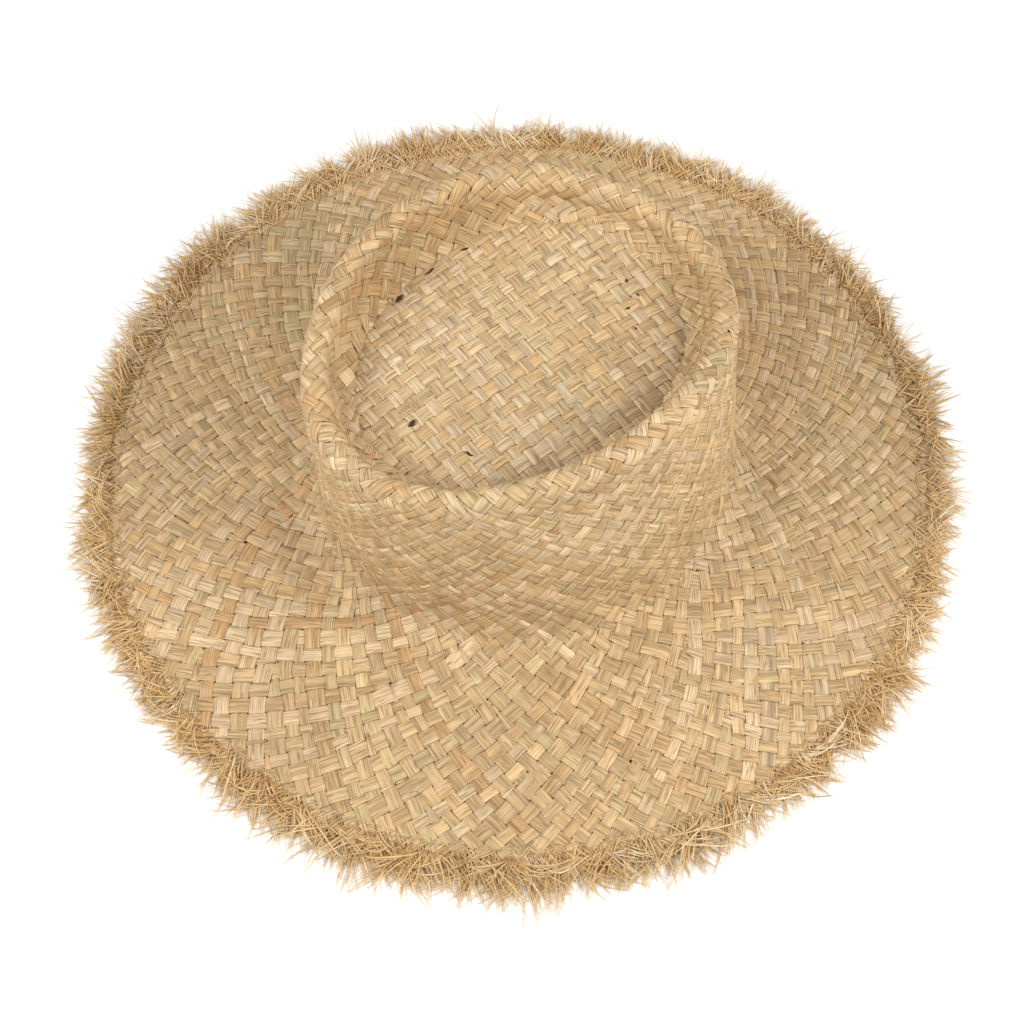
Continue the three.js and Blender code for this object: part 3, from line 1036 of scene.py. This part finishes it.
def straw_material(name, roughness, streaks, splits):
    """Raffia: fine streaks, painted shade in splits between its fibres, and slow changes of tone.

    The grain attribute holds the distance along and across each strand in millimetres, and a number
    that is the strand's own.
    """
    nodes = Nodes(name)
    grain = nodes.attribute("grain", "Vector")
    colour = nodes.attribute("straw", "Color")
    fine = nodes.noise(nodes.stretch(grain, (0.05, 1.25, 0.37)), 1.0, 4.0, 0.7)
    fibres = nodes.noise(nodes.stretch(grain, (0.035, 1.05, 0.71)), 1.0, 1.0)
    patch = nodes.noise(nodes.stretch(grain, (0.11, 0.05, 0.53)), 1.0, 2.0)
    warmth = nodes.noise(nodes.stretch(grain, (0.10, 0.22, 0.29)), 1.0, 2.0)
    toned = nodes.mix(1.0, colour, nodes.span(fine, 1 - streaks, 1 + streaks * 0.8), "MULTIPLY")
    toned = nodes.mix(1.0, toned, nodes.span(patch, 0.91, 1.07, 0.3, 0.7), "MULTIPLY")
    warm = nodes.mix(nodes.span(warmth, 0.0, 0.55, 0.62, 0.72), toned, WARM_STREAK)
    pale = nodes.mix(nodes.span(warmth, 0.5, 0.0, 0.26, 0.40), warm, PALE_STREAK)
    centred = nodes.math("SUBTRACT", fibres, 0.5)
    split = nodes.span(nodes.math("ABSOLUTE", centred, 0), 1.0, 0.0, 0.006, 0.042)
    # Painted shade: the splits, which the bump sinks, are darkened towards a dark brown.
    dark = nodes.mix(nodes.math("MULTIPLY", split, splits), pale, SPLIT_SHADE_TONE)
    height = nodes.math("SUBTRACT", nodes.math("MULTIPLY", fine, 0.5), split)
    return nodes.shade({
        "Base Color": dark,
        "Roughness": nodes.span(fine, roughness + 0.12, roughness - 0.1),
        "Specular IOR Level": 0.35,
        "Normal": nodes.bump(height, 0.6, 0.00018),
    })


def cloth_material(name, weave, roughness, sheen, depth):
    """Woven or twisted cloth. weave holds the direction and period of two sets of stripes."""
    nodes = Nodes(name)
    grain = nodes.attribute("grain", "Vector")
    colour = nodes.attribute("straw", "Color")
    coarse, fine = (nodes.bands(grain, direction, period, 0.4) for direction, period in weave)
    fuzz = nodes.noise(grain, 2.2)
    wear = nodes.noise(grain, 0.12, 2.0)
    coarse, fine = nodes.math("MULTIPLY", coarse, 0.7), nodes.math("MULTIPLY", fine, 0.3)
    height = nodes.math("ADD", coarse, fine)
    height = nodes.math("ADD", height, nodes.math("MULTIPLY", fuzz, 0.25))
    # Painted shade: darker in the hollows between the ribs and threads.
    toned = nodes.mix(1.0, colour, nodes.span(height, 0.80, 1.06, 0.0, 1.1), "MULTIPLY")
    toned = nodes.mix(1.0, toned, nodes.span(wear, 0.93, 1.05, 0.3, 0.7), "MULTIPLY")
    return nodes.shade({
        "Base Color": toned,
        "Roughness": nodes.span(fuzz, roughness + 0.08, roughness - 0.08),
        "Sheen Weight": sheen,
        "Specular IOR Level": 0.3,
        "Normal": nodes.bump(height, 0.7, depth),
    })


def floor_material():
    values = {"Base Color": (0.9, 0.9, 0.9, 1), "Roughness": 0.9, "Specular IOR Level": 0.1}
    return Nodes("floor").shade(values)


# ---- Camera, light and floor ----

CAMERA_AZIMUTH = math.radians(53.6)
CAMERA_ELEVATION = math.radians(59.9)
CAMERA_DISTANCE = 1.331
CAMERA_LENS = 103.6
AIM_LEFT, AIM_DOWN = 0.0058, 0.0136  # the hat's middle stands right of and above centre
WORLD_STRENGTH = 0.68
LIGHT_SIZE = 0.8
LIGHTS = (("right", (0.95, 0.50, 0.95), 13.5), ("left", (-0.30, -1.05, 0.95), 12.5))
LIGHT_AIM = Vector((0, 0, 0.05))
FLOOR_HALF = 4.0


def add_camera():
    flat = Vector(level_way(CAMERA_AZIMUTH + math.pi / 2))
    view = flat * math.cos(CAMERA_ELEVATION) - Vector((0, 0, math.sin(CAMERA_ELEVATION)))
    right = Vector(level_way(CAMERA_AZIMUTH))
    aim = -right * AIM_LEFT - right.cross(view) * AIM_DOWN
    camera = add_object("camera", bpy.data.cameras.new("camera"))
    camera.data.lens = CAMERA_LENS
    camera.data.sensor_width = 36
    camera.data.clip_start = 0.05
    camera.location = aim - view * CAMERA_DISTANCE
    camera.rotation_euler = view.to_track_quat("-Z", "Y").to_euler()
    bpy.context.scene.camera = camera


def area_light(name, place, power):
    light = add_object(name, bpy.data.lights.new(name, "AREA"))
    light.data.shape = "DISK"
    light.data.size = LIGHT_SIZE
    light.data.energy = power
    light.location = place
    light.rotation_euler = (LIGHT_AIM - Vector(place)).to_track_quat("-Z", "Y").to_euler()


def add_stage():
    world = bpy.data.worlds.new("studio")
    world.use_nodes = True
    background = world.node_tree.nodes["Background"]
    background.inputs["Color"].default_value = (1, 1, 1, 1)
    background.inputs["Strength"].default_value = WORLD_STRENGTH
    bpy.context.scene.world = world
    bpy.context.scene.view_settings.view_transform = "Standard"
    for light in LIGHTS:
        area_light(*light)
    mesh = bpy.data.meshes.new("floor")
    corners = [(x * FLOOR_HALF, y * FLOOR_HALF, 0) for x, y in ((-1, -1), (1, -1), (1, 1), (-1, 1))]
    mesh.from_pydata(corners, [], [(0, 1, 2, 3)])
    mesh.materials.append(floor_material())
    add_object("floor", mesh)


# ---- Assembly ----

def place(piece, slot, node=None):
    """Puts a piece on the hat's one body, in place of a node of the frame where it has one."""
    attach(piece, "root")
    if node:
        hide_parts(node)


def main():
    add_camera()
    add_stage()
    straw = straw_material("straw", 0.55, 0.38, 0.8)
    frayed = straw_material("frayed_straw", 0.6, 0.12, 0.0)

    woven, families = spiral_weave(straw)
    woven["crown_tip"] = tip_weave(straw)
    for node, pieces in woven.items():
        for piece in pieces:
            place(piece, "straw", node)
    for index, piece in enumerate(fringe(families, frayed)):
        place(piece, "frayed_straw", f"fringe_{index + 1:02d}")
    for piece in (loose_fibres(straw), painted_shadow_slits(frayed)):
        place(piece, "straw")

    ribbon = cloth_material("ribbon", (("X", RIB_PITCH), ("Y", 0.35)), 0.72, 0.25, 0.00012)
    thread = cloth_material("thread", (("DIAGONAL", 0.35), ("Y", 0.2)), 0.5, 0.1, 0.00006)
    cloth = cloth_material("label_cloth", (("X", 0.4), ("Y", 0.4)), 0.65, 0.2, 0.00005)
    size_angle = BACK + (LABEL_SPACING + SIZE_LABEL[0]) / HEAD_RADIUS
    inner = sweatband(ribbon, thread)
    inner["brim_edge_stitches"] = (brim_stitches(thread), "thread")
    inner["size_label"] = (label("size_tab", SIZE_LABEL, size_angle, cloth), "label_cloth")
    inner["care_label"] = (label("care_tab", CARE_LABEL, math.pi, cloth), "label_cloth")
    for node, (piece, slot) in inner.items():
        place(piece, slot, node)


main()
